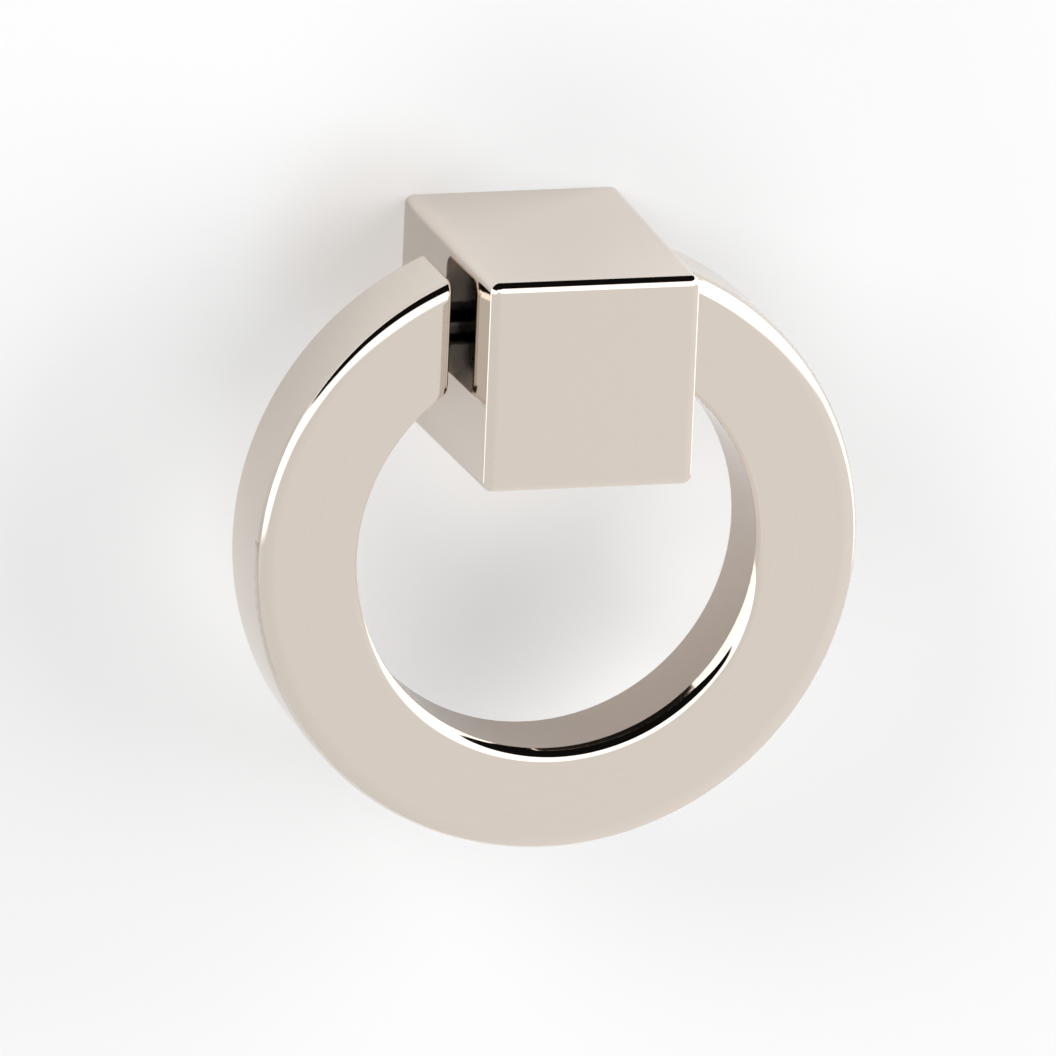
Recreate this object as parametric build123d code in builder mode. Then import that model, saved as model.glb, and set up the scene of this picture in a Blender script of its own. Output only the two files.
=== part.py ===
# A ring pull handle for a drawer or door front. A square post is held by one machine screw from
# behind, and a flat ring swings from it on two sprung pivot pins.
# Millimetres. +X is to the right, +Y into the drawer front and +Z up. The origin is the mouth of the
# screw hole, at the centre of the post's back face.

from build123d import *
import os
from math import radians, sqrt, tan

# Post: a solid square block whose four sides lean outwards a little towards the back
post_front_width = 17.5
post_front_height = 17.5
post_depth = 25.4
post_draft = 0.8  # degrees on each side
post_edge_radius = 0.8  # along the four long edges and round the front

# Screw hole in the post's back, drilled for an 8-32 thread
screw_hole_radius = 1.725
screw_hole_depth = 10.0
drill_point_angle = 118.0

# Ring: a flat annulus, cut away at the top to leave two arms with flat ends beside the post
ring_outer_radius = 25.4
ring_inner_radius = 16.8
ring_thickness = 8.7
ring_edge_radius = 1.1
ring_end_edge_radius = 0.3
ring_setback = 7.6  # from the post's front face back to the ring's front face
ring_side_gap = 1.0  # between each arm's end and the post, at the pivot

# Pivot: two pins in one bore across the post, each reaching into a blind socket in an arm
pivot_height = 2.1  # above the screw hole
pin_radius = 1.75
pin_length = 8.2
pin_tip_chamfer = 0.3
pin_running_clearance = 0.05
socket_depth = 4.0
socket_end_clearance = 0.1

# Spring: a compression spring with ground ends, between the pins
spring_outer_radius = 1.45
spring_wire_radius = 0.18
spring_turns = 6
spring_seat_clearance = 0.04

# Places that follow from the sizes above
draft_slope = tan(radians(post_draft))
post_back_width = post_front_width + 2 * post_depth * draft_slope
post_back_height = post_front_height + 2 * post_depth * draft_slope
pivot_setback = ring_setback + ring_thickness / 2
pivot_y = pivot_setback - post_depth
post_half_width_at_pivot = post_front_width / 2 + pivot_setback * draft_slope
arm_end_x = post_half_width_at_pivot + ring_side_gap

# The pivot is centred in the arms' end faces
arm_end_top = sqrt(ring_outer_radius**2 - arm_end_x**2)
arm_end_bottom = sqrt(ring_inner_radius**2 - arm_end_x**2)
ring_centre_z = pivot_height - (arm_end_top + arm_end_bottom) / 2
ring_front_y = ring_setback - post_depth

bore_radius = pin_radius + pin_running_clearance
pin_tip_x = arm_end_x + socket_depth - socket_end_clearance
pin_inner_x = pin_tip_x - pin_length
spring_length = 2 * (pin_inner_x - spring_seat_clearance)
spring_pitch = spring_length / spring_turns


def sideways_plane(x):
    """The plane across the pivot axis at x, looking along +X."""
    return Plane(origin=(x, pivot_y, pivot_height), x_dir=(0, 1, 0), z_dir=(1, 0, 0))


with BuildPart() as post:
    # Seen from the front: x to the right and z up, extruded from the back face to the front face
    with BuildSketch(Plane.XZ):
        Rectangle(post_back_width, post_back_height)
    extrude(amount=post_depth, taper=post_draft)
    front_edges, long_edges, back_edges = post.edges().group_by(Axis.Y)
    fillet(front_edges + long_edges, post_edge_radius)

    # Screw hole with the drill's point at its bottom
    with BuildSketch(Plane.XY):
        with BuildLine():
            drill_point_length = screw_hole_radius / tan(radians(drill_point_angle / 2))
            Polyline(
                (0, 0),
                (screw_hole_radius, 0),
                (screw_hole_radius, -screw_hole_depth),
                (0, -screw_hole_depth - drill_point_length),
                close=True,
            )
        make_face()
    revolve(axis=Axis.Y, mode=Mode.SUBTRACT)

    # Pivot bore, right through from side to side
    with BuildSketch(sideways_plane(0)):
        Circle(bore_radius)
    extrude(amount=post_back_width, both=True, mode=Mode.SUBTRACT)
post.part.label = "post"

with BuildPart() as ring:
    ring_plane = Plane(origin=(0, ring_front_y, ring_centre_z), x_dir=(1, 0, 0), z_dir=(0, 1, 0))
    with BuildSketch(ring_plane):
        Circle(ring_outer_radius)
        Circle(ring_inner_radius, mode=Mode.SUBTRACT)
        # Plane x runs to the right and plane y runs down, so the gap for the post lies at minus y
        with Locations((0, -ring_outer_radius)):
            Rectangle(2 * arm_end_x, 2 * ring_outer_radius, mode=Mode.SUBTRACT)
    extrude(amount=ring_thickness)
    round_edges = ring.edges().filter_by(GeomType.CIRCLE)
    fillet(round_edges, ring_edge_radius)
    end_faces = ring.faces().filter_by(Axis.X)
    fillet(end_faces.edges(), ring_end_edge_radius)

    # A blind socket in each arm's end
    for side in (-1, 1):
        with BuildSketch(sideways_plane(side * arm_end_x)):
            Circle(bore_radius)
        extrude(amount=side * socket_depth, mode=Mode.SUBTRACT)
ring.part.label = "ring"

pins = []
for side, name in ((-1, "pivot_pin_left"), (1, "pivot_pin_right")):
    with BuildPart() as pin:
        with BuildSketch(sideways_plane(side * pin_inner_x)):
            Circle(pin_radius)
        extrude(amount=side * pin_length)
        tip = pin.faces().sort_by(Axis.X)[-1 if side > 0 else 0]
        chamfer(tip.edges(), pin_tip_chamfer)
    pin.part.label = name
    pins.append(pin)

with BuildPart() as spring:
    # The coil is wound half a turn past each seat, and both ends are ground flat
    coil_height = spring_length + spring_pitch
    with BuildLine() as coil:
        Helix(
            pitch=spring_pitch,
            height=coil_height,
            radius=spring_outer_radius - spring_wire_radius,
            center=(-coil_height / 2, pivot_y, pivot_height),
            direction=(1, 0, 0),
        )
    with BuildSketch(Plane(origin=coil.line @ 0, z_dir=coil.line % 0)):
        Circle(spring_wire_radius)
    sweep(path=coil.line, is_frenet=True)
    with BuildSketch(sideways_plane(-spring_length / 2)):
        Circle(bore_radius)
    extrude(amount=spring_length, mode=Mode.INTERSECT)
spring.part.label = "pivot_spring"

os.makedirs("parts", exist_ok=True)
export_step(post.part, "parts/post.step")
export_step(ring.part, "parts/ring.step")
export_step(pins[0].part, "parts/pivot_pin_left.step")
export_step(pins[1].part, "parts/pivot_pin_right.step")
export_step(spring.part, "parts/pivot_spring.step")
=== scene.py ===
from collections import namedtuple
from math import cos, pi, radians, sin, tan

import bmesh
import bpy
from mathutils import Matrix, Vector


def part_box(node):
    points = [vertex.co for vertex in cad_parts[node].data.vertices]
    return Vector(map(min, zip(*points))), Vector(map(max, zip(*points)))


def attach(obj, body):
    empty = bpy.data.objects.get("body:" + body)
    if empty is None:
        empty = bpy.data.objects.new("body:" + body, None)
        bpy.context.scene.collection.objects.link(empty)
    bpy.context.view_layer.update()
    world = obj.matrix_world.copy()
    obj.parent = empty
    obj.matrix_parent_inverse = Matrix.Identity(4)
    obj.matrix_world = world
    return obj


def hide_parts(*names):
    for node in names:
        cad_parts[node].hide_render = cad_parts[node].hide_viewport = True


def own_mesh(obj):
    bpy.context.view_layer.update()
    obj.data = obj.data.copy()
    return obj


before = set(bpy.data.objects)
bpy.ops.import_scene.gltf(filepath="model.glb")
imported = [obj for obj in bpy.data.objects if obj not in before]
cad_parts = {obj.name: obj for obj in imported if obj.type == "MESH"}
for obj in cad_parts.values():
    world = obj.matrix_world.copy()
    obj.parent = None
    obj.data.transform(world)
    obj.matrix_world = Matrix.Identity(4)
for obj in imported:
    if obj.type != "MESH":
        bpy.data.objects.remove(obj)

MM = 0.001

# Camera, fitted to the photograph's edges
VIEW_AZIMUTH = radians(16.43)  # to the left of straight ahead
VIEW_ELEVATION = radians(16.9)
VIEW_ROLL = radians(2.38)
VIEW_DISTANCE = 1500 * MM
FRAME_PIXELS = 1056
PIXELS_PER_MM = 12.332
RING_CENTRE_PIXEL = (559.5, 552.7)
SENSOR_WIDTH = 36  # in mm, as Blender wants it
NEAREST_SEEN = 10 * MM
FARTHEST_SEEN = 20000 * MM

# Sizes that the frame's boxes don't give
RING_INNER_RADIUS = 16.8 * MM
RING_EDGE_RADIUS = 1.1 * MM
ARM_END_EDGE_RADIUS = 0.3 * MM
POST_EDGE_RADIUS = 0.8 * MM
POST_DRAFT = radians(0.8)
BORE_RADIUS = 1.8 * MM
SOCKET_DEPTH = 4.0 * MM
SOCKET_END_CLEARANCE = 0.1 * MM
SCREW_HOLE_RADIUS = 1.725 * MM

# How far past its size a feature keeps the mesh's own normal or its own finish
ARM_END_MARGIN = 0.02 * MM
DULL_SHADED_END_MARGIN = 0.04 * MM
SOCKET_MARGIN = 0.05 * MM
BORE_MARGIN = 0.01 * MM
BACK_MARGIN = 0.03 * MM
INSIDE_MARGIN = 0.3 * MM
SCREW_HOLE_MARGIN = 0.02 * MM
HALF_DEPTH_MARGIN = 2 * MM  # past half the post's depth, which the screw hole doesn't reach

SAME_POINT = 0.0001 * MM  # corners this close are one
LEAST_INSET = 0.001 * MM  # keeps a division from dividing by zero

# 8-32 thread in the screw hole
THREAD_PITCH = 0.794 * MM
THREAD_HEIGHT = 0.22 * MM
THREAD_START = 0.6 * MM
THREAD_LENGTH = 8.4 * MM
THREAD_ROOT = 0.04 * MM  # how far the ridge reaches into the hole's wall
THREAD_HALF_FOOT = 0.42 * THREAD_PITCH
THREAD_HALF_CREST = 0.08 * THREAD_PITCH
THREAD_END_SHARE = 0.05  # of its height and foot, where the ridge starts and ends
THREAD_STEPS_A_TURN = 48

# The spring's two halves: side, name and the joint that shortens it
SPRING_HALVES = (
    (-1, "spring_left_half", "left_pin_slide"),
    (1, "spring_right_half", "right_pin_slide"),
)

# Polishing rolls the front's edges over in a flat arc: its radius, how far it tips at most, and how
# much of the edge's own radius is left behind the crease where the side wall starts
Roll = namedtuple("Roll", "radius tip crease")
RING_OUTER_ROLL = Roll(2.5 * MM, radians(38), 0.64)
RING_INNER_ROLL = Roll(1.4 * MM, radians(50), 0.3)
POST_ROLL = Roll(1.34 * MM, radians(39), 0.22)
CREASE_SOFTNESS = 0.05
INNER_ROLL_WIDTHS = (0.1 * MM, 1.2 * MM)  # near the top of the ring and near its foot
INNER_ROLL_HEIGHTS = (0.3, -0.6)  # where it has those widths: height over distance from the centre
INNER_ROLL_MORE_ON_RIGHT = 0.25
PILLOW = radians(0.9)  # how far the flats lean outwards by their edges

# Lamps that shade the wall: degrees to the right of straight ahead, degrees up, watts
LAMP_DISTANCE = 1000 * MM
LAMP_SIZE = 600 * MM
SOFT_LAMPS = (
    ("left_high", -60, 30, 6.4),
    ("left_low", -60, -35, 2.2),
    ("right", 55, 0, 4.8),
    ("right_high", 75, 30, 8.7),
    ("front_low", 0, -35, 1.9),
)

# The wall behind the handle
WALL_BEHIND = 0.02 * MM  # past the post's back face
WALL_SIZE = 60  # times its opening's size
WALL_CORNER_STEPS = 8
WALL_PAINT = (0.93, 0.93, 0.93, 1)
WALL_WHITE = Vector((0.86, 0.86, 0.86))  # plain white mixed in for the camera
WALL_WHITE_SHARE = 0.5

# Painted light and shade in that white: their place across and up, how far they reach, and the change of
# red, green, blue
WALL_LIGHT_AND_SHADE_SPOTS = (
    ((1 * MM, -10 * MM), 15 * MM, (0.26, 0.22, 0.19)),
    ((17 * MM, -20 * MM), 11 * MM, (0.18, 0.17, 0.16)),
    ((-11 * MM, 5 * MM), 13 * MM, (-0.12, -0.17, -0.21)),
)
WALL_SPOT_CORE = 0.25  # of its reach, where the painted light or shade is full

# The oval part of the wall that the metal mirrors: its centre and half its size, across and up
MIRRORED_CENTRE = (-18 * MM, -20 * MM)
MIRRORED_REACH = (57 * MM, 55 * MM)
MIRRORED_FADE = (0.75, 1.1)  # in those half sizes

# The room that the metal mirrors: across from straight ahead and up, in degrees
CEILING_FOOT = (
    (-85, 70), (-68, 41), (-60, 30), (-56, 19), (-50, 17), (-40, 14.5), (-32, 13.5), (-24, 15.5), (-18, 19),
    (-11, 21), (0, 21.5), (14, 24), (27, 27), (43, 27.5), (51, 30), (60, 37), (70, 50), (80, 54), (95, 80),
)
CEILING_DARKNESS = 0.997
CEILING_BLUR = 1.5
SCREEN_FOOT = (
    (-110, -4), (-67, -5), (-65, -21), (-57, -21), (-54, -12), (-34, -12), (-28, -10), (-22, 1), (-9, 4),
    (0, 1), (5, -2.5), (10, -4), (25, -5.5), (31, -2.5), (42, 0), (53.5, 1), (60, -4), (71, -14.5),
    (75, -20), (82, -20), (86, -4), (120, 0),
)
SCREEN_BLUR = 2.0
SCREENS_LEFT_END = (-112.0, -85.0)
SCREENS_RIGHT_END = (115.0, 95.0)
ROOM_SIDES = (-25.0, 58.0)
ROOM_LEVELS = (0.92, 1.05)  # at those two sides
FLOOR_FADE = (-42.0, -30.0)
FLOOR_LEVEL = 0.02
FILL_LEVEL = 0.28  # light of the room on paint
BACKGROUND_LEVEL = 0.96
BOUNCED_DIMMING = 0.55  # for what mirrors throw on paint

NICKEL = (0.68, 0.612, 0.545, 1)
NICKEL_DARK = (0.668, 0.601, 0.535, 1)
NICKEL_LIGHT = (0.692, 0.623, 0.555, 1)
# Painted shade on the ring's inside
INSIDE_SHADE_TONE = (0.645, 0.553, 0.485, 1)
# The arms' ends: duller plating darkened further with painted shade of the gap, and painted shade round the
# pins
DULL_SHADED_END = (0.17, 0.14, 0.12, 1)
PIVOT_SHADE = (0.012, 0.010, 0.009, 1)
DARK_STEEL = (0.05, 0.047, 0.045, 1)
SPRING_STEEL = (0.3, 0.29, 0.28, 1)

# Buffed faces: lines and ripples to the metre, how high each stands, and how rough the metal is
BUFFING_LINES = 5000.0
LINES_ALONG = 60.0
LINES_ROUND = 5.0  # to the radian
RIPPLES = 160.0
BUFFING_HEIGHT = 0.35
RIPPLE_HEIGHT = 4.0
POLISH_STRENGTH = 0.3
POLISH_DEPTH = 0.002 * MM
NOISE_RANGE = (0.3, 0.75)
POLISH_ROUGHNESS = (0.03, 0.07)
ARM_END_ROUGHNESS = 0.12  # on top of the polish
PIVOT_SHADE_REACH = (4.2 * MM, 6.2 * MM)  # from the pivot, where the painted shade round the pins fades out
PIVOT_SHADE_WANDER = 1.2 * MM

# Cut, ground and drawn metal: marks to the metre along each axis, the least and the most roughness,
# and how strong and how deep the marks are
Marks = namedtuple("Marks", "along roughness strength depth")
WIRE_MARKS = Marks((3000, 3000, 3000), (0.3, 0.42), 0.4, 0.004 * MM)
PIN_MARKS = Marks((9000, 900, 900), (0.14, 0.26), 0.4, 0.004 * MM)
TAP_MARKS = Marks((900, 9000, 900), (0.2, 0.35), 0.5, 0.01 * MM)
MARKS_RANGE = (0.25, 0.75)
STEEL_SHADE = 0.75  # of its colour, where steel is darkest

# Turned finish on the post's back face
TURNING_PITCH = 0.28 * MM
TURNING_HEIGHT = 3.0
TURNING_WANDER = 0.06 * MM
TURNING_WANDERS = 300.0  # to the metre
BACK_ROUGHNESS = 0.2


class Graph:
    """Writes a node tree in few words: each call adds one node."""

    def __init__(self, tree):
        self.tree = tree
        tree.nodes.clear()

    def node(self, kind, inputs=None, **settings):
        node = self.tree.nodes.new(kind)
        for name, value in settings.items():
            setattr(node, name, value)
        for socket, value in (inputs or {}).items():
            self.feed(node.inputs[socket], value)
        return node

    def feed(self, socket, value):
        if isinstance(value, bpy.types.NodeSocket):
            self.tree.links.new(value, socket)
        else:
            socket.default_value = value

    def maths(self, operation, *values):
        return self.node("ShaderNodeMath", dict(enumerate(values)), operation=operation).outputs[0]

    def add(self, first, second):
        return self.maths("ADD", first, second)

    def less(self, first, second):
        return self.maths("SUBTRACT", first, second)

    def times(self, first, second):
        return self.maths("MULTIPLY", first, second)

    def over(self, first, second):
        return self.maths("DIVIDE", first, second)

    def size(self, value):
        """A number without its sign."""
        return self.maths("ABSOLUTE", value)

    def at_least(self, value, floor):
        return self.maths("MAXIMUM", value, floor)

    def below(self, value, limit):
        """1 where value is below limit, otherwise 0."""
        return self.maths("LESS_THAN", value, limit)

    def above(self, value, limit):
        """1 where value is above limit, otherwise 0."""
        return self.maths("GREATER_THAN", value, limit)

    def vector(self, operation, *values):
        node = self.node("ShaderNodeVectorMath", dict(enumerate(values)), operation=operation)
        return node.outputs["Value" if operation == "LENGTH" else "Vector"]

    def distance(self, first, second):
        """How far apart two directions at right angles reach."""
        return self.vector("LENGTH", self.join(first, 0.0, second))

    def split(self, vector):
        return self.node("ShaderNodeSeparateXYZ", {0: vector}).outputs[:]

    def join(self, x, y, z):
        return self.node("ShaderNodeCombineXYZ", {0: x, 1: y, 2: z}).outputs[0]

    def smooth(self, value, start, end, low=0.0, high=1.0):
        """Goes smoothly from low to high while value goes from start to end."""
        inputs = {"Value": value, "From Min": start, "From Max": end, "To Min": low, "To Max": high}
        return self.node("ShaderNodeMapRange", inputs, interpolation_type="SMOOTHSTEP").outputs[0]

    def curve(self, degrees, points):
        """A line through points, each an input and an output in degrees from -180 to 180."""
        place = self.add(0.5, self.over(degrees, 360.0))
        node = self.node("ShaderNodeFloatCurve", {"Value": place})
        line = node.mapping.curves[0].points
        for end in (0, 1):
            line[end].location = (end, points[-end][1] / 360 + 0.5)
        for start, height in points:
            line.new(start / 360 + 0.5, height / 360 + 0.5)
        for point in line:
            point.handle_type = "VECTOR"
        node.mapping.update()
        return self.times(360.0, self.less(node.outputs[0], 0.5))

    def noise(self, vector, scale, detail):
        inputs = {"Vector": vector, "Scale": scale, "Detail": detail}
        return self.node("ShaderNodeTexNoise", inputs).outputs[0]

    def bump(self, height, strength, distance, normal=None):
        inputs = {"Height": height, "Strength": strength, "Distance": distance}
        if normal is not None:
            inputs["Normal"] = normal
        return self.node("ShaderNodeBump", inputs).outputs[0]

    def blend(self, factor, first, second):
        """A mix of two numbers."""
        return self.node("ShaderNodeMix", {"Factor": factor, 2: first, 3: second}).outputs[0]

    def blend_vector(self, factor, first, second):
        node = self.node("ShaderNodeMix", data_type="VECTOR")
        self.feed(node.inputs["Factor"], factor)
        self.feed(node.inputs[4], first)
        self.feed(node.inputs[5], second)
        return node.outputs[1]

    def blend_colour(self, factor, first, second):
        node = self.node("ShaderNodeMix", data_type="RGBA")
        self.feed(node.inputs["Factor"], factor)
        self.feed(node.inputs[6], first)
        self.feed(node.inputs[7], second)
        return node.outputs[2]


def new_material(name):
    material = bpy.data.materials.new(name)
    material.use_nodes = True
    return material, Graph(material.node_tree)


def new_object(name, data):
    thing = bpy.data.objects.new(name, data)
    bpy.context.scene.collection.objects.link(thing)
    return thing


def object_place(graph):
    return graph.node("ShaderNodeTexCoord").outputs["Object"]


def direction(across, height):
    """The way to a point of the room, both angles in radians."""
    return Vector((sin(across) * cos(height), -cos(across) * cos(height), sin(height)))


def ring_outer_radius():
    low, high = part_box("ring")
    return (high.x - low.x) / 2


def arm_end_x():
    """How far from the middle the ring's arms end."""
    pin_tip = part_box("pivot_pin_right")[1].x
    return pin_tip + SOCKET_END_CLEARANCE - SOCKET_DEPTH


def make_camera():
    """The photograph's camera: long lens, above and to the left of the ring."""
    ring_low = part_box("ring")[0]
    target = Vector((0, ring_low.y, ring_low.z + ring_outer_radius()))
    back = direction(-VIEW_AZIMUTH, VIEW_ELEVATION)
    level_right = (-back).cross(Vector((0, 0, 1))).normalized()
    level_up = level_right.cross(-back)
    right = level_right * cos(VIEW_ROLL) + level_up * sin(VIEW_ROLL)
    up = level_up * cos(VIEW_ROLL) - level_right * sin(VIEW_ROLL)

    # The ring's centre isn't in the middle of the picture
    aside = (FRAME_PIXELS / 2 - RING_CENTRE_PIXEL[0]) / PIXELS_PER_MM * MM
    above = (RING_CENTRE_PIXEL[1] - FRAME_PIXELS / 2) / PIXELS_PER_MM * MM
    place = target + back * VIEW_DISTANCE + right * aside + up * above

    lens = bpy.data.cameras.new("camera")
    lens.sensor_width = SENSOR_WIDTH
    frame_width = FRAME_PIXELS / PIXELS_PER_MM * MM
    lens.lens = SENSOR_WIDTH * VIEW_DISTANCE / frame_width
    lens.clip_start = NEAREST_SEEN
    lens.clip_end = FARTHEST_SEEN
    camera = new_object("camera", lens)
    camera.matrix_world = Matrix.Translation(place) @ Matrix((right, up, back)).transposed().to_4x4()
    bpy.context.scene.camera = camera


def wall_mesh():
    """A flat sheet just behind the post's back face, with an opening that fits the post's outline."""
    corner_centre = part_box("post")[1].x - POST_EDGE_RADIUS
    outline = []
    for quarter, (side, height) in enumerate(((1, 1), (-1, 1), (-1, -1), (1, -1))):
        for step in range(WALL_CORNER_STEPS + 1):
            angle = (quarter + step / WALL_CORNER_STEPS) * pi / 2
            x = side * corner_centre + POST_EDGE_RADIUS * cos(angle)
            z = height * corner_centre + POST_EDGE_RADIUS * sin(angle)
            outline.append((x, z))
    count = len(outline)
    corners = [(x * size, WALL_BEHIND, z * size) for size in (WALL_SIZE, 1) for x, z in outline]
    faces = [(k, (k + 1) % count, count + (k + 1) % count, count + k) for k in range(count)]
    mesh = bpy.data.meshes.new("wall")
    mesh.from_pydata(corners, [], faces)
    return mesh


def lit_wall_white(graph, x, z):
    """Plain white with painted light, warmer and lighter where the metal throws light on it, and painted
    shade left of the post.
    """
    lit_white = WALL_WHITE
    for (spot_x, spot_z), reach, change in WALL_LIGHT_AND_SHADE_SPOTS:
        away = graph.distance(graph.less(x, spot_x), graph.less(z, spot_z))
        share = graph.smooth(away, reach, reach * WALL_SPOT_CORE)
        lit_white = graph.vector("MULTIPLY_ADD", graph.join(share, share, share), Vector(change), lit_white)
    return lit_white


def wall_material():
    """White paint that keeps the handle's soft shade, and is clear when it is seen from behind."""
    material, graph = new_material("wall_white")
    path = graph.node("ShaderNodeLightPath")
    geometry = graph.node("ShaderNodeNewGeometry")
    x, _, z = graph.split(geometry.outputs["Position"])

    # The camera sees some plain white in it, as in the photograph's cleaned background
    paint = graph.node("ShaderNodeBsdfDiffuse", {"Color": WALL_PAINT})
    white = graph.node("ShaderNodeEmission", {"Color": lit_wall_white(graph, x, z), "Strength": 1.0})
    whitened = graph.times(path.outputs["Is Camera Ray"], WALL_WHITE_SHARE)
    surface = graph.node("ShaderNodeMixShader", {0: whitened, 1: paint.outputs[0], 2: white.outputs[0]})

    # Mirrors see the wall near the handle only, and the room further out
    x_off = graph.over(graph.less(x, MIRRORED_CENTRE[0]), MIRRORED_REACH[0])
    z_off = graph.over(graph.less(z, MIRRORED_CENTRE[1]), MIRRORED_REACH[1])
    far = graph.smooth(graph.distance(x_off, z_off), *MIRRORED_FADE)
    far = graph.times(path.outputs["Is Glossy Ray"], far)
    clear = graph.maths("MAXIMUM", geometry.outputs["Backfacing"], far)

    see_through = graph.node("ShaderNodeBsdfTransparent")
    mix = graph.node("ShaderNodeMixShader", {0: clear, 1: surface.outputs[0], 2: see_through.outputs[0]})
    graph.node("ShaderNodeOutputMaterial", {"Surface": mix.outputs[0]})
    return material


def make_wall():
    """The white surface that the handle is fixed to."""
    mesh = wall_mesh()
    mesh.materials.append(wall_material())
    wall = new_object("wall", mesh)


def room_level(graph, path):
    """How bright the room is in each direction: white, with a dark ceiling and floor and bright screens."""
    x, y, z = graph.split(graph.node("ShaderNodeTexCoord").outputs["Generated"])
    # Degrees to the right of straight out of the wall, and degrees above the horizon
    across = graph.maths("DEGREES", graph.maths("ARCTAN2", x, graph.times(y, -1.0)))
    height = graph.maths("DEGREES", graph.maths("ARCSINE", z))

    over_foot = graph.less(height, graph.curve(across, SCREEN_FOOT))
    screens = graph.smooth(over_foot, -SCREEN_BLUR, SCREEN_BLUR)
    screens = graph.times(screens, graph.smooth(across, *SCREENS_LEFT_END))
    screens = graph.times(screens, graph.smooth(across, *SCREENS_RIGHT_END))
    level = graph.add(graph.smooth(across, *ROOM_SIDES, *ROOM_LEVELS), screens)

    over_foot = graph.less(height, graph.curve(across, CEILING_FOOT))
    ceiling = graph.smooth(over_foot, -CEILING_BLUR, CEILING_BLUR)
    level = graph.times(level, graph.less(1.0, graph.times(ceiling, CEILING_DARKNESS)))

    # The floor is dark where metal mirrors other metal, as the ring's edge does the post's underside
    twice = graph.above(path.outputs["Glossy Depth"], 1.5)
    floor = graph.smooth(height, *FLOOR_FADE, FLOOR_LEVEL, 1.0)
    return graph.times(level, graph.blend(twice, 1.0, floor))


def make_world():
    """The room as the metal mirrors it, a plain fill light for paint and a white background."""
    world = bpy.data.worlds.new("studio")
    bpy.context.scene.world = world
    world.use_nodes = True
    graph = Graph(world.node_tree)
    path = graph.node("ShaderNodeLightPath")
    bounced = graph.maths("MINIMUM", path.outputs["Diffuse Depth"], 1.0)
    dimmed = graph.less(1.0, graph.times(bounced, BOUNCED_DIMMING))
    mirrored = graph.times(path.outputs["Is Glossy Ray"], dimmed)
    strength = graph.blend(mirrored, FILL_LEVEL, room_level(graph, path))
    strength = graph.blend(path.outputs["Is Camera Ray"], strength, BACKGROUND_LEVEL)
    light = graph.node("ShaderNodeBackground", {"Color": (1, 1, 1, 1), "Strength": strength})
    graph.node("ShaderNodeOutputWorld", {"Surface": light.outputs[0]})


def make_lamps():
    """Soft lamps round the handle, seen in no mirror."""
    for name, across, height, power in SOFT_LAMPS:
        data = bpy.data.lights.new(name, "AREA")
        data.shape = "DISK"
        data.size = LAMP_SIZE
        data.energy = power
        lamp = new_object(name, data)
        away = direction(radians(across), radians(height))
        lamp.location = away * LAMP_DISTANCE
        lamp.rotation_euler = (-away).to_track_quat("-Z", "Y").to_euler()
        lamp.visible_glossy = False


def roll_width(roll):
    return roll.radius * sin(roll.tip)


def rolled_edge(graph, inset, standing, roll, edge_radius):
    """The normal's part across an edge and its part to the front.

    inset is how far the point lies past the start of the roll. standing is how far it still lies in
    front of or behind the flat of the side wall, where the edge's own radius starts.
    """
    slope = graph.at_least(graph.over(inset, roll.radius), 0.0)
    slope = graph.maths("MINIMUM", slope, sin(roll.tip))
    front = graph.maths("SQRT", graph.less(1.0, graph.times(slope, slope)))
    on_side = graph.smooth(
        graph.over(standing, edge_radius), roll.crease + CREASE_SOFTNESS, roll.crease - CREASE_SOFTNESS,
    )
    on_side = graph.times(on_side, graph.above(inset, 0.0))
    return graph.blend(on_side, slope, 1.0), graph.blend(on_side, front, 0.0)


def finished_normal(graph, normal, own):
    """The normal in the world's directions, or the mesh's own normal where own is 1."""
    normal = graph.vector("NORMALIZE", normal)
    spaces = {"vector_type": "NORMAL", "convert_from": "OBJECT", "convert_to": "WORLD"}
    turned = graph.node("ShaderNodeVectorTransform", {0: normal}, **spaces).outputs[0]
    mesh_normal = graph.node("ShaderNodeNewGeometry").outputs["Normal"]
    return graph.blend_vector(own, turned, mesh_normal)


def from_pivot(graph, place):
    """How far a point is from the pivot's axis."""
    _, y, z = graph.split(place)
    low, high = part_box("pivot_pin_right")
    return graph.distance(graph.less(y, (low.y + high.y) / 2), graph.less(z, (low.z + high.z) / 2))


def ring_place(graph, place):
    """A point's x and y, its height above the ring's centre and its distance from the ring's axis."""
    x, y, z = graph.split(place)
    up = graph.less(z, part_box("ring")[0].z + ring_outer_radius())
    return x, y, up, graph.distance(x, up)


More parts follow.
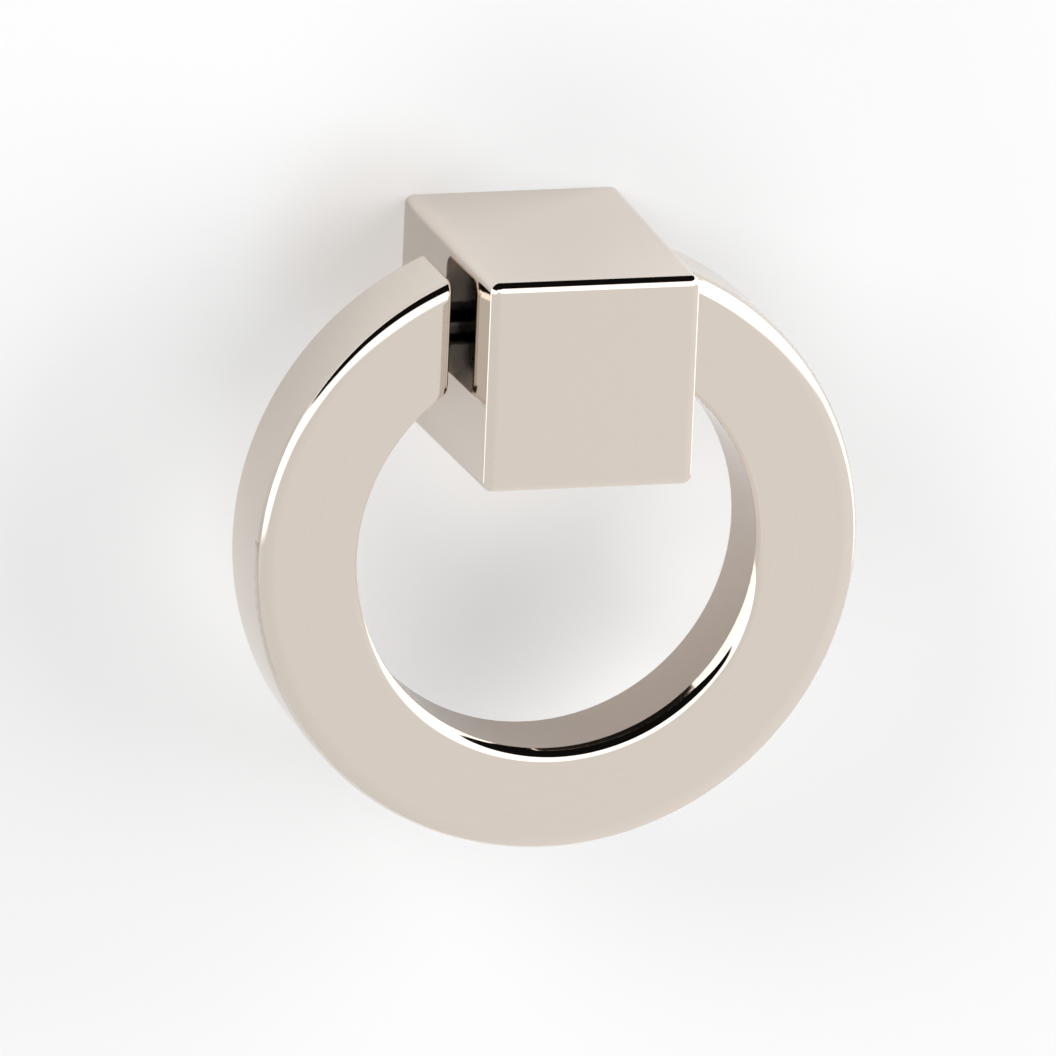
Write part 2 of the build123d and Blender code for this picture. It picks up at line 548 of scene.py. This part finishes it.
def ring_normal(graph, place):
    """The ring's normal from its sizes, so that its highlights run smoothly round it."""
    low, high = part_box("ring")
    outer_radius = ring_outer_radius()
    x, y, up, radius = ring_place(graph, place)
    from_middle = graph.less(y, (low.y + high.y) / 2)
    half_flat = (high.y - low.y) / 2 - RING_EDGE_RADIUS
    standing = graph.at_least(graph.less(graph.size(from_middle), half_flat), 0.0)
    outer_inset = graph.less(radius, outer_radius - roll_width(RING_OUTER_ROLL))

    # The inner edge is rolled over most at the ring's foot, and a little more on the right
    width = graph.smooth(graph.over(up, radius), *INNER_ROLL_HEIGHTS, *INNER_ROLL_WIDTHS)
    more = graph.add(1.0, graph.times(INNER_ROLL_MORE_ON_RIGHT, graph.over(x, radius)))
    inner_inset = graph.less(graph.add(RING_INNER_RADIUS, graph.times(width, more)), radius)
    outward, outer_front = rolled_edge(graph, outer_inset, standing, RING_OUTER_ROLL, RING_EDGE_RADIUS)
    inward, inner_front = rolled_edge(graph, inner_inset, standing, RING_INNER_ROLL, RING_EDGE_RADIUS)

    sideways = graph.over(graph.less(outward, inward), radius)
    sideways = graph.add(sideways, sin(PILLOW) / outer_radius)
    front = graph.times(graph.times(outer_front, inner_front), graph.maths("SIGN", from_middle))
    normal = graph.join(graph.times(sideways, x), front, graph.times(sideways, up))

    # The arms' ends and the pin sockets keep the mesh's own normal
    across = graph.size(x)
    by_end = graph.below(across, arm_end_x() + ARM_END_EDGE_RADIUS + ARM_END_MARGIN)
    by_end = graph.times(by_end, graph.above(up, 0.0))
    in_socket = graph.times(
        graph.below(from_pivot(graph, place), BORE_RADIUS + SOCKET_MARGIN),
        graph.below(across, arm_end_x() + SOCKET_DEPTH + SOCKET_MARGIN),
    )
    return finished_normal(graph, normal, graph.maths("MAXIMUM", by_end, in_socket))


def post_normal(graph, place):
    """The post's normal from its sizes: leaning sides and rolled edges round the front."""
    low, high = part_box("post")
    lean = tan(POST_DRAFT)
    x, y, z = graph.split(place)
    roll_start = graph.add(graph.times(y, lean), high.x - roll_width(POST_ROLL))
    over_x = graph.at_least(graph.less(graph.size(x), roll_start), 0.0)
    over_z = graph.at_least(graph.less(graph.size(z), roll_start), 0.0)
    inset = graph.distance(over_x, over_z)
    standing = graph.at_least(graph.less(low.y + POST_EDGE_RADIUS, y), 0.0)
    outward, front = rolled_edge(graph, inset, standing, POST_ROLL, POST_EDGE_RADIUS)

    # Round a corner the roll's part is shared out over both directions
    share = graph.over(outward, graph.at_least(inset, LEAST_INSET))
    x_part = graph.times(graph.times(share, over_x), graph.maths("SIGN", x))
    z_part = graph.times(graph.times(share, over_z), graph.maths("SIGN", z))
    pillow = graph.times(front, sin(PILLOW) / high.x)
    x_part = graph.add(x_part, graph.times(x, pillow))
    z_part = graph.add(z_part, graph.times(z, pillow))
    normal = graph.join(x_part, graph.times(graph.add(front, lean), -1.0), z_part)

    # The back face, the screw hole and the pivot bore keep the mesh's own normal
    in_hole = graph.times(
        graph.below(graph.distance(x, z), SCREW_HOLE_RADIUS + SCREW_HOLE_MARGIN),
        graph.above(y, low.y / 2 - HALF_DEPTH_MARGIN),
    )
    in_bore = graph.below(from_pivot(graph, place), BORE_RADIUS + BORE_MARGIN)
    own = graph.maths("MAXIMUM", in_hole, graph.above(y, -BACK_MARGIN))
    own = graph.maths("MAXIMUM", own, in_bore)
    return finished_normal(graph, normal, own)


def metal_surface(graph, colour, rough, normal):
    """Bare metal as the material's surface."""
    metal = graph.node("ShaderNodeBsdfPrincipled", {"Metallic": 1.0})
    graph.feed(metal.inputs["Base Color"], colour)
    graph.feed(metal.inputs["Roughness"], rough)
    graph.feed(metal.inputs["Normal"], normal)
    graph.node("ShaderNodeOutputMaterial", {"Surface": metal.outputs[0]})


def buffed(graph, place, lines):
    """The noise of the buffing lines, the noise of the ripples, and the height of both together."""
    buffing = graph.noise(lines, scale=1.0, detail=3.0)
    ripples = graph.noise(place, scale=RIPPLES, detail=1.0)
    relief = graph.add(graph.times(buffing, BUFFING_HEIGHT), graph.times(ripples, RIPPLE_HEIGHT))
    return buffing, ripples, relief


def ring_material():
    """Polished nickel with faint buffing lines round the ring, painted shade on its inside, and dull ends on
    the arms darkened with painted shade.
    """
    material, graph = new_material("polished_nickel_ring")
    place = object_place(graph)
    x, y, up, radius = ring_place(graph, place)
    angle = graph.maths("ARCTAN2", up, x)
    lines = graph.join(
        graph.times(angle, LINES_ROUND), graph.times(y, BUFFING_LINES), graph.times(radius, BUFFING_LINES),
    )
    buffing, ripples, relief = buffed(graph, place, lines)
    normal = graph.bump(relief, POLISH_STRENGTH, POLISH_DEPTH, ring_normal(graph, place))

    # Painted shade: the ring's inside is darker and warmer, for the shaded wall that it mirrors
    tone = graph.blend_colour(buffing, NICKEL_DARK, NICKEL_LIGHT)
    inside = graph.below(radius, RING_INNER_RADIUS + INSIDE_MARGIN)
    tone = graph.blend_colour(inside, tone, INSIDE_SHADE_TONE)

    # The arms' ends are dull, and darkened with painted shade of the narrow gap, darkest round the pins
    on_end = graph.times(graph.below(graph.size(x), arm_end_x() + DULL_SHADED_END_MARGIN), graph.above(up, 0.0))
    spread = graph.add(from_pivot(graph, place), graph.times(ripples, PIVOT_SHADE_WANDER))
    dull_and_shaded = graph.blend_colour(graph.smooth(spread, *PIVOT_SHADE_REACH), PIVOT_SHADE, DULL_SHADED_END)
    colour = graph.blend_colour(on_end, tone, dull_and_shaded)
    rough = graph.smooth(buffing, *NOISE_RANGE, *POLISH_ROUGHNESS)
    rough = graph.add(rough, graph.times(on_end, ARM_END_ROUGHNESS))
    metal_surface(graph, colour, rough, normal)
    return material


def post_material():
    """Polished nickel on the post, with a turned finish on its back face."""
    material, graph = new_material("polished_nickel_post")
    place = object_place(graph)
    x, y, z = graph.split(place)
    lines = graph.vector("MULTIPLY", place, (BUFFING_LINES, LINES_ALONG, BUFFING_LINES))
    buffing, ripples, polish = buffed(graph, place, lines)

    # The back face was faced on a lathe
    on_back = graph.above(y, -BACK_MARGIN)
    wander = graph.times(graph.noise(place, scale=TURNING_WANDERS, detail=1.0), TURNING_WANDER)
    turns = graph.over(graph.add(graph.distance(x, z), wander), TURNING_PITCH)
    turning = graph.maths("SINE", graph.times(turns, 2 * pi))
    relief = graph.blend(on_back, polish, graph.times(turning, TURNING_HEIGHT))
    normal = graph.bump(relief, POLISH_STRENGTH, POLISH_DEPTH, post_normal(graph, place))

    tone = graph.blend_colour(buffing, NICKEL_DARK, NICKEL_LIGHT)
    rough = graph.smooth(buffing, *NOISE_RANGE, *POLISH_ROUGHNESS)
    metal_surface(graph, tone, graph.blend(on_back, rough, BACK_ROUGHNESS), normal)
    return material


def marked_metal(name, dark, light, marks):
    """Cut, ground or drawn metal with fine marks."""
    material, graph = new_material(name)
    noise = graph.noise(graph.vector("MULTIPLY", object_place(graph), marks.along), scale=1.0, detail=3.0)
    normal = graph.bump(noise, marks.strength, marks.depth)
    rough = graph.smooth(noise, *MARKS_RANGE, *marks.roughness)
    metal_surface(graph, graph.blend_colour(noise, dark, light), rough, normal)
    return material


def steel_material(name, colour, marks):
    """Ground or drawn steel."""
    dark = tuple(STEEL_SHADE * part for part in colour[:3]) + (1,)
    return marked_metal(name, dark, colour, marks)


def thread_mesh():
    """One ridge wound round the wall of the hole, thin at both ends."""
    steps = round(THREAD_LENGTH / THREAD_PITCH * THREAD_STEPS_A_TURN)
    corners = []
    for step in range(steps + 1):
        turns = step / THREAD_STEPS_A_TURN
        turns_left = (steps - step) / THREAD_STEPS_A_TURN
        full = min(1.0, turns + THREAD_END_SHARE, turns_left + THREAD_END_SHARE)
        foot = SCREW_HOLE_RADIUS + THREAD_ROOT
        crest = SCREW_HOLE_RADIUS - THREAD_HEIGHT * full
        half_foot = THREAD_HALF_FOOT * full
        half_crest = THREAD_HALF_CREST
        angle = 2 * pi * turns
        along = -THREAD_START - THREAD_PITCH * turns
        ridge = ((foot, half_foot), (crest, half_crest), (crest, -half_crest), (foot, -half_foot))
        for radius, shift in ridge:
            corners.append((radius * cos(angle), along + shift, radius * sin(angle)))

    faces = []
    last = 4 * steps
    for first in range(0, last, 4):
        for side in range(4):
            after = (side + 1) % 4
            faces.append((first + side, first + after, first + 4 + after, first + 4 + side))
    faces.append((3, 2, 1, 0))
    faces.append((last, last + 1, last + 2, last + 3))
    mesh = bpy.data.meshes.new("screw_thread")
    mesh.from_pydata(corners, [], faces)
    return mesh


def make_thread():
    """The screw thread, which is too fine for the solids."""
    mesh = thread_mesh()
    mesh.materials.append(marked_metal("tapped_metal", NICKEL_DARK, NICKEL, TAP_MARKS))
    thread = new_object("screw_thread", mesh)
    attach(thread, "post")


def half_mesh(node, side, name):
    """A copy of the part of a node's mesh that lies to one side of the middle, closed at the cut."""
    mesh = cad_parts[node].data.copy()
    mesh.name = name
    shape = bmesh.new()
    shape.from_mesh(mesh)
    bmesh.ops.remove_doubles(shape, verts=shape.verts[:], dist=SAME_POINT)
    everything = shape.verts[:] + shape.edges[:] + shape.faces[:]
    cut = bmesh.ops.bisect_plane(
        shape, geom=everything, dist=SAME_POINT, plane_co=(0, 0, 0), plane_no=(side, 0, 0), clear_inner=True,
    )
    rim = [part for part in cut["geom_cut"] if isinstance(part, bmesh.types.BMEdge)]
    bmesh.ops.holes_fill(shape, edges=rim)
    shape.to_mesh(mesh)
    shape.free()
    return mesh


def make_spring():
    """The spring in two halves, split at the middle and fixed to the post."""
    material = steel_material("spring_wire", SPRING_STEEL, WIRE_MARKS)
    for side, name, joint in SPRING_HALVES:
        mesh = half_mesh("pivot_spring", side, name)
        mesh.materials.clear()
        mesh.materials.append(material)
        half = new_object(name, mesh)
        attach(half, "post")
        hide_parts("pivot_spring")
        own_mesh(half)


def dress(node, material):
    """Gives a CAD node its material."""
    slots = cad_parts[node].data.materials
    slots.clear()
    slots.append(material)


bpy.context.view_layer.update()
make_camera()
make_wall()
make_world()
make_lamps()

dress("ring", ring_material())
dress("post", post_material())
pin_steel = steel_material("dark_steel", DARK_STEEL, PIN_MARKS)
for pin in ("pivot_pin_left", "pivot_pin_right"):
    dress(pin, pin_steel)
make_spring()
make_thread()

bpy.context.scene.view_settings.view_transform = "Standard"
